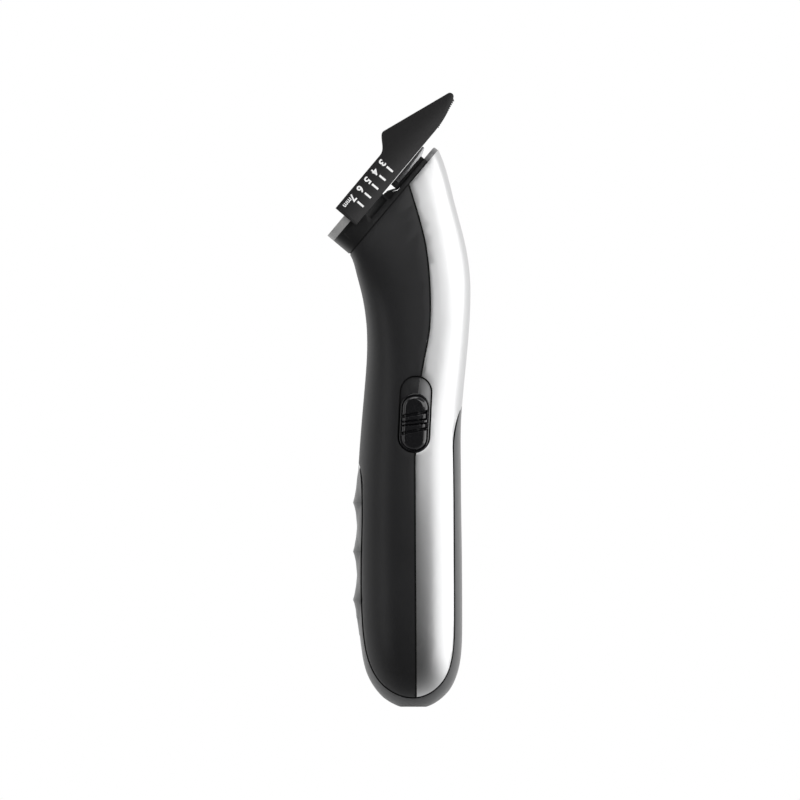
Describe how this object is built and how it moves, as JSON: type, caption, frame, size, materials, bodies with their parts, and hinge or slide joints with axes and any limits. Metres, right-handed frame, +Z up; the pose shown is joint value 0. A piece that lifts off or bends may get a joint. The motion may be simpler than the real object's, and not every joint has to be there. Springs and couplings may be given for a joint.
{
  "type": "hair clipper",
  "caption": "Cordless hair clipper: bent handle with soft grip, slide switch, reciprocating blade and an adjustable sliding comb, charged through an inlet in its foot.",
  "frame": {"origin": "centre of the charging inlet's mouth, in the foot of the handle", "axes": "+Z up the handle towards the blades, +X towards the silver front, on/off slide on -Y"},
  "size_m": [0.0401, 0.0442, 0.172],
  "materials": {
    "rear_shell": "fine matte texture",
    "front_shell": "pearl silver lacquer",
    "grip_rubber": "soft satin elastomer",
    "button_black": "polished",
    "head_black": "fine satin",
    "cover_grey": "satin lacquer",
    "lip_metal": "satin",
    "blade_steel": "ground",
    "spring_steel": "bright wire",
    "comb_black": "satin gloss",
    "lens_clear": "clear",
    "cell_wrap": "shrink sleeve over the can",
    "nickel": "plated",
    "inner_plastic": "natural moulding",
    "board_green": "solder mask",
    "motor_steel": "zinc plated",
    "magnet_dark": "sintered ferrite",
    "copper": "enamelled winding"
  },
  "bodies": {
    "handle": {"rear_housing": "rear_shell", "front_housing": "front_shell", "soft_grip": "grip_rubber", "case_screws": "nickel", "charging_socket": "head_black", "socket_terminals": "nickel", "charge_light": "lens_clear", "battery_cells": "cell_wrap", "battery_straps": "nickel", "battery_cradle": "inner_plastic", "circuit_board": "board_green", "board_parts": "head_black", "slide_switch": "nickel", "motor_can": "motor_steel", "motor_magnets": "magnet_dark", "motor_end_cap": "head_black", "motor_mount": "inner_plastic", "head_base": "head_black", "head_cover": "cover_grey", "head_lip": "lip_metal", "blade_frame": "head_black", "fixed_blade": "blade_steel", "blade_spring": "spring_steel"},
    "cutter": {"moving_blade": "blade_steel", "blade_carrier": "head_black"},
    "rotor": {"motor_shaft": "blade_steel", "motor_armature": "copper", "eccentric_cam": "inner_plastic"},
    "switch": {"switch_button": "button_black", "switch_slider": "inner_plastic"},
    "comb": {"comb": "comb_black"}
  },
  "joints": [
    {"name": "comb_slide", "type": "slide", "parent": "handle", "child": "comb", "axis": [0.6428, 0, 0.766], "range_m": [-0.00638, 0.00638]},
    {"name": "switch_slide", "type": "slide", "parent": "handle", "child": "switch", "axis": [0.0471, 0, 0.9989], "range_m": [0, 0.0045]},
    {"name": "blade_stroke", "type": "slide", "parent": "handle", "child": "cutter", "axis": [0, 1, 0], "range_m": [-0.001, 0.001]},
    {"name": "motor_spin", "type": "hinge", "parent": "handle", "child": "rotor", "pos_m": [0.001, 0, 0.125], "axis": [0, 0, 1], "continuous": true}
  ]
}
